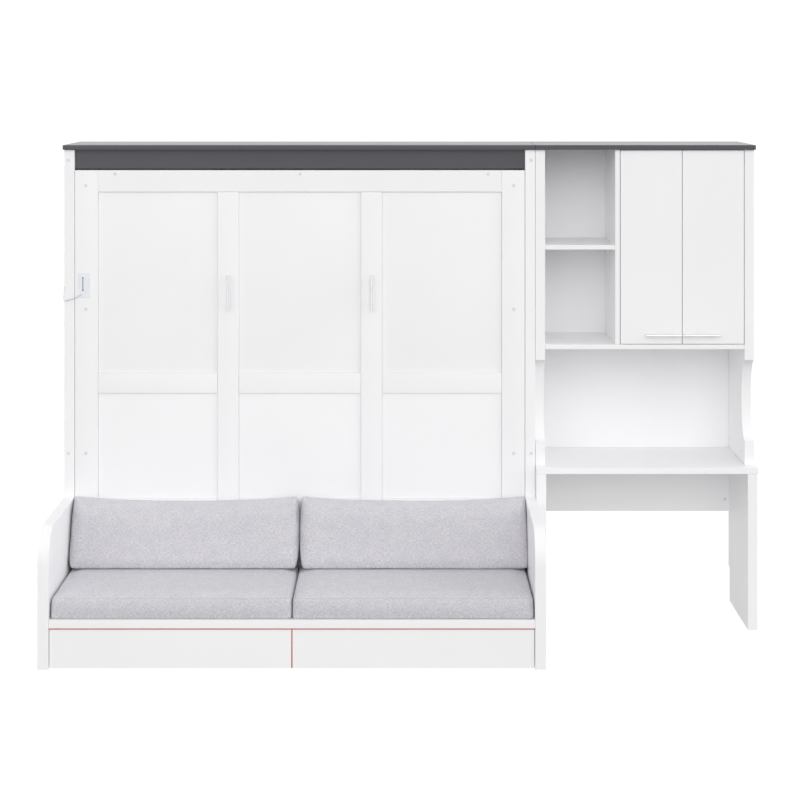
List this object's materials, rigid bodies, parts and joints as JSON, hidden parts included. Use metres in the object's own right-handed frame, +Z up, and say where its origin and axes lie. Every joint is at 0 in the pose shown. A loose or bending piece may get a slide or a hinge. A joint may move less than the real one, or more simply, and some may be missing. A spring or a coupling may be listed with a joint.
{
  "type": "wall bed with sofa",
  "caption": "Side-folding wall bed in a shallow cabinet, with a cushioned sofa and drawers in front and a joined desk and hutch on its right.",
  "frame": {"origin": "middle of the footprint's bounding box, on the floor", "axes": "+X to the viewer's right along the wall, -Y out of the wall towards the viewer, +Z up"},
  "size_m": [3.2284, 0.957, 2.24],
  "materials": {
    "white_board": "satin white lacquer",
    "dark_board": "dark grey lacquer",
    "pine": "planed, bare",
    "birch_ply": "sanded, clear lacquer",
    "zinc_steel": "zinc plated",
    "dark_steel": "powder coated",
    "black_steel": "gloss black paint",
    "satin_nickel": "satin nickel plate",
    "melange_fabric": "woven, light grey melange",
    "salmon_strip": "matt edge strip"
  },
  "bodies": {
    "cabinet": {"bed_side_left": "white_board", "bed_side_right": "white_board", "front_stile_left": "white_board", "front_stile_right": "white_board", "bed_back_panel": "white_board", "lower_front_panel": "white_board", "sofa_arm_left": "white_board", "sofa_arm_right": "white_board", "seat_board": "white_board", "base_divider": "white_board", "hutch_side_left": "white_board", "hutch_side_right": "white_board", "hutch_bottom": "white_board", "hutch_divider": "white_board", "hutch_shelf": "white_board", "hutch_back_panel": "white_board", "desk_top": "white_board", "desk_leg_left": "white_board", "desk_leg_right": "white_board", "modesty_panel": "white_board", "bed_cap": "dark_board", "hutch_cap": "dark_board", "header_board": "dark_board", "wall_rail": "pine", "pivot_plate_left": "zinc_steel", "pivot_plate_right": "zinc_steel", "chain_anchor": "satin_nickel", "seat_cushion_left": "melange_fabric", "seat_cushion_right": "melange_fabric", "drawer_gap_strip": "salmon_strip"},
    "bed": {"face_panel": "white_board", "face_stile_left": "white_board", "face_stile_right": "white_board", "face_top_rail": "white_board", "bed_rail_left": "white_board", "bed_rail_right": "white_board", "bed_rail_top": "white_board", "bed_rail_bottom": "white_board", "bed_mid_beam": "pine", "slat_roll": "birch_ply", "bed_handle_left": "satin_nickel", "bed_handle_right": "satin_nickel", "lock_plate": "satin_nickel"},
    "leg_left": {"fold_leg_left": "dark_steel"},
    "leg_right": {"fold_leg_right": "dark_steel"},
    "cylinder_left": {"spring_cylinder_left": "black_steel"},
    "cylinder_right": {"spring_cylinder_right": "black_steel"},
    "rod_left": {"spring_rod_left": "zinc_steel"},
    "rod_right": {"spring_rod_right": "zinc_steel"},
    "cushion_left": {"back_cushion_left": "melange_fabric"},
    "cushion_right": {"back_cushion_right": "melange_fabric"},
    "drawer_left": {"drawer_front_left": "white_board", "drawer_box_left": "birch_ply"},
    "drawer_right": {"drawer_front_right": "white_board", "drawer_box_right": "birch_ply"},
    "door_left": {"hutch_door_left": "white_board", "door_handle_left": "satin_nickel"},
    "door_right": {"hutch_door_right": "white_board", "door_handle_right": "satin_nickel"},
    "chain": {"safety_chain": "satin_nickel"}
  },
  "joints": [
    {"name": "bed_fold", "type": "hinge", "parent": "cabinet", "child": "bed", "pos_m": [-0.51015, 0.2205, 0.655], "axis": [1, 0, 0], "range_deg": [0, 90], "stiffness_Nm_per_rad": 200, "springref_deg": -25.78},
    {"name": "leg_left_swing", "type": "hinge", "parent": "bed", "child": "leg_left", "pos_m": [-1.49015, 0.1535, 2.122], "axis": [0, 0, -1], "range_deg": [0, 90]},
    {"name": "leg_right_swing", "type": "hinge", "parent": "bed", "child": "leg_right", "pos_m": [0.46985, 0.1535, 2.122], "axis": [0, 0, 1], "range_deg": [0, 90]},
    {"name": "drawer_left_slide", "type": "slide", "parent": "cabinet", "child": "drawer_left", "axis": [0, -1, 0], "range_m": [0, 0.4]},
    {"name": "drawer_right_slide", "type": "slide", "parent": "cabinet", "child": "drawer_right", "axis": [0, -1, 0], "range_m": [0, 0.4]},
    {"name": "door_left_swing", "type": "hinge", "parent": "cabinet", "child": "door_left", "pos_m": [0.99715, 0.0865, 1.313], "axis": [0, 0, -1], "range_deg": [0, 100]},
    {"name": "door_right_swing", "type": "hinge", "parent": "cabinet", "child": "door_right", "pos_m": [1.54815, 0.0865, 1.313], "axis": [0, 0, 1], "range_deg": [0, 100]},
    {"name": "spring_left_tilt", "type": "hinge", "parent": "cabinet", "child": "cylinder_left", "pos_m": [-1.57115, 0.2005, 0.255], "axis": [1, 0, 0], "range_deg": [0, 12]},
    {"name": "spring_left_stroke", "type": "slide", "parent": "cylinder_left", "child": "rod_left", "axis": [0, 0, -1], "range_m": [0, 0.112]},
    {"name": "cushion_left_tip", "type": "hinge", "parent": "cabinet", "child": "cushion_left", "pos_m": [-1.02215, -0.11721, 0.3153], "axis": [1, 0, 0], "range_deg": [0, 101]},
    {"name": "spring_right_tilt", "type": "hinge", "parent": "cabinet", "child": "cylinder_right", "pos_m": [0.55085, 0.2005, 0.255], "axis": [1, 0, 0], "range_deg": [0, 12]},
    {"name": "spring_right_stroke", "type": "slide", "parent": "cylinder_right", "child": "rod_right", "axis": [0, 0, -1], "range_m": [0, 0.112]},
    {"name": "cushion_right_tip", "type": "hinge", "parent": "cabinet", "child": "cushion_right", "pos_m": [0.01485, -0.11721, 0.3153], "axis": [1, 0, 0], "range_deg": [0, 101]},
    {"name": "chain_drop", "type": "hinge", "parent": "cabinet", "child": "chain", "pos_m": [-1.61085, 0.0733, 1.5145], "axis": [0, 1, 0], "range_deg": [0, 109]}
  ],
  "couplings": [
    {"joint": "spring_left_tilt", "follows": "bed_fold", "ratio": 0.1321},
    {"joint": "spring_left_stroke", "follows": "bed_fold", "m_per_rad": 0.071091},
    {"joint": "cushion_left_tip", "follows": "bed_fold", "ratio": 1.1192},
    {"joint": "spring_right_tilt", "follows": "bed_fold", "ratio": 0.1321},
    {"joint": "spring_right_stroke", "follows": "bed_fold", "m_per_rad": 0.071091},
    {"joint": "cushion_right_tip", "follows": "bed_fold", "ratio": 1.1192},
    {"joint": "chain_drop", "follows": "bed_fold", "ratio": 1.2043}
  ]
}
